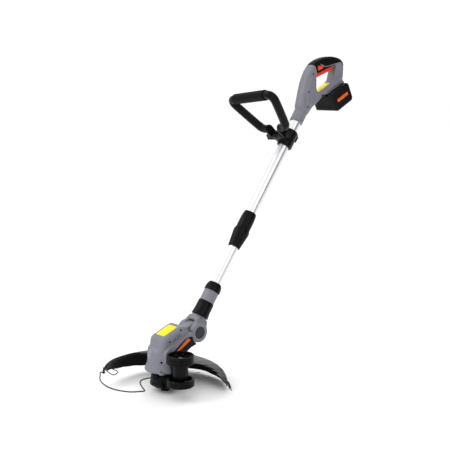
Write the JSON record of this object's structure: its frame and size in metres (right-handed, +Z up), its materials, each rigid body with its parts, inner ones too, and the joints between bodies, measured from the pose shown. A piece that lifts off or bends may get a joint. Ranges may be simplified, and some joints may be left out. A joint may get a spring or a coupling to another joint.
{
  "type": "string trimmer",
  "caption": "Cordless string trimmer: closed rear handle over a slide-on battery, telescopic tube, loop handle, tilting motor head with line spool, crescent guard, wire bow and edging wheels.",
  "frame": {"origin": "centre of the bump knob's underside, on the ground under the spool axis", "axes": "+Z up along the spool axis, +Y back towards the operator, +X towards the side with the edging wheels"},
  "size_m": [0.2692, 0.7875, 0.794],
  "materials": {
    "grey_plastic": "fine textured moulded plastic",
    "black_plastic": "fine textured moulded plastic",
    "black_rubber": "soft ribbed rubber",
    "orange_plastic": "satin moulded plastic",
    "blue_grey_plastic": "satin moulded plastic",
    "tube_aluminium": "bright drawn tube",
    "steel": "plated steel",
    "black_steel": "black coated steel wire",
    "white_plastic": "natural nylon",
    "line_nylon": "clear grey nylon line",
    "lead_rubber": "lead sheath",
    "board": "circuit board",
    "cell_wrap": "cell wrap"
  },
  "bodies": {
    "handle": {"handle_shell_left": "grey_plastic", "handle_shell_right": "grey_plastic", "soft_grip": "black_rubber", "handle_screws": "black_steel", "trigger_pin": "steel", "trigger_spring": "steel", "trigger_switch": "black_plastic", "control_board": "board", "dock_terminals": "black_plastic", "upper_tube": "tube_aluminium", "shaft_lead": "lead_rubber", "collar_body": "black_plastic", "collet": "white_plastic"},
    "trigger_lever": {"trigger": "orange_plastic"},
    "lock_button": {"lock_off_button": "orange_plastic"},
    "battery": {"battery_upper_case": "black_plastic", "battery_lower_case": "black_plastic", "battery_cells": "cell_wrap"},
    "latch": {"battery_latch": "orange_plastic"},
    "clamp": {"handle_clamp": "black_plastic", "clamp_bolt": "black_steel"},
    "front_handle": {"front_handle_frame": "black_plastic", "front_handle_grip": "black_rubber"},
    "knob": {"clamp_knob": "black_plastic"},
    "collar": {"twist_ring": "black_plastic"},
    "lower_shaft": {"lower_tube": "tube_aluminium", "swivel_housing": "grey_plastic", "locking_cap": "black_plastic"},
    "sleeve": {"release_sleeve": "black_plastic", "sleeve_spring": "steel"},
    "neck": {"neck_left": "grey_plastic", "neck_right": "grey_plastic", "neck_screws": "black_steel", "tilt_pin": "steel"},
    "pivot_button": {"tilt_button": "blue_grey_plastic"},
    "head": {"motor_housing_left": "grey_plastic", "motor_housing_right": "grey_plastic", "housing_screws": "black_steel", "side_panels": "black_plastic", "motor_can": "steel", "motor_bearing": "steel", "guard": "black_plastic", "guard_screws": "steel", "line_cutter": "black_steel", "wire_clips": "black_steel", "wheel_bracket": "black_plastic"},
    "spool": {"motor_shaft": "steel", "cooling_fan": "white_plastic", "spool_housing": "black_plastic", "spool_drum": "grey_plastic", "line_winding": "line_nylon", "spool_cap": "black_plastic", "cutting_line": "line_nylon", "bump_spring": "steel"},
    "bump_feed": {"bump_knob": "black_plastic"},
    "edge_wheels": {"wheel_axle": "steel", "upper_wheel": "black_plastic", "lower_wheel": "black_plastic"},
    "wire_bow": {"wire_guard": "black_steel"}
  },
  "joints": [
    {"name": "trigger_pull", "type": "hinge", "parent": "handle", "child": "trigger_lever", "pos_m": [0, 0.57837, 0.76888], "axis": [-1, 0, 0], "range_deg": [0, 6], "stiffness_Nm_per_rad": 1, "springref_deg": -6.88, "deforming": ["trigger_spring"]},
    {"name": "lock_press", "type": "slide", "parent": "handle", "child": "lock_button", "axis": [-1, 0, 0], "range_m": [0, 0.003], "stiffness_N_per_m": 300, "springref_m": -0.002},
    {"name": "battery_slide", "type": "slide", "parent": "handle", "child": "battery", "axis": [0, 0.891, 0.454], "range_m": [0, 0.085]},
    {"name": "latch_press", "type": "slide", "parent": "battery", "child": "latch", "axis": [0, 0.454, -0.891], "range_m": [0, 0.004], "stiffness_N_per_m": 500, "springref_m": -0.002},
    {"name": "clamp_slide", "type": "slide", "parent": "handle", "child": "clamp", "axis": [0, 0.5878, 0.809], "range_m": [-0.15, 0.02]},
    {"name": "front_handle_tilt", "type": "hinge", "parent": "clamp", "child": "front_handle", "pos_m": [-0.00407, 0.38968, 0.59117], "axis": [0.9877, -0.1266, 0.092], "range_deg": [-40, 40]},
    {"name": "knob_turn", "type": "hinge", "parent": "clamp", "child": "knob", "pos_m": [-0.03962, 0.39424, 0.58786], "axis": [0.9877, -0.1266, 0.092], "continuous": true},
    {"name": "collar_twist", "type": "hinge", "parent": "handle", "child": "collar", "pos_m": [0, 0.23765, 0.33823], "axis": [0, 0.5878, 0.809], "range_deg": [0, 90]},
    {"name": "telescope", "type": "slide", "parent": "handle", "child": "lower_shaft", "axis": [0, 0.5878, 0.809], "range_m": [-0.1, 0.09]},
    {"name": "sleeve_lift", "type": "slide", "parent": "lower_shaft", "child": "sleeve", "axis": [0, 0.5878, 0.809], "range_m": [0, 0.005], "stiffness_N_per_m": 800, "springref_m": -0.003, "deforming": ["sleeve_spring"]},
    {"name": "swivel", "type": "hinge", "parent": "lower_shaft", "child": "neck", "pos_m": [0, 0.12715, 0.18613], "axis": [0, 0.5878, 0.809], "range_deg": [0, 180]},
    {"name": "pivot_press", "type": "slide", "parent": "neck", "child": "pivot_button", "axis": [-1, 0, 0], "range_m": [0, 0.0035], "stiffness_N_per_m": 400, "springref_m": -0.002},
    {"name": "head_tilt", "type": "hinge", "parent": "neck", "child": "head", "pos_m": [0, 0.086, 0.1295], "axis": [1, 0, 0], "range_deg": [-30, 30]},
    {"name": "spool_spin", "type": "hinge", "parent": "head", "child": "spool", "pos_m": [0, 0, 0.03], "axis": [0, 0, 1], "continuous": true},
    {"name": "bump_press", "type": "slide", "parent": "spool", "child": "bump_feed", "axis": [0, 0, 1], "range_m": [0, 0.005], "stiffness_N_per_m": 900, "springref_m": -0.003, "deforming": ["bump_spring"]},
    {"name": "wheels_spin", "type": "hinge", "parent": "head", "child": "edge_wheels", "pos_m": [0.075, -0.014, 0.06], "axis": [0, 0, 1], "continuous": true},
    {"name": "wire_flip", "type": "hinge", "parent": "head", "child": "wire_bow", "pos_m": [-0.048, -0.073, 0.04], "axis": [-0.8815, -0.4722, 0], "range_deg": [0, 50]}
  ]
}
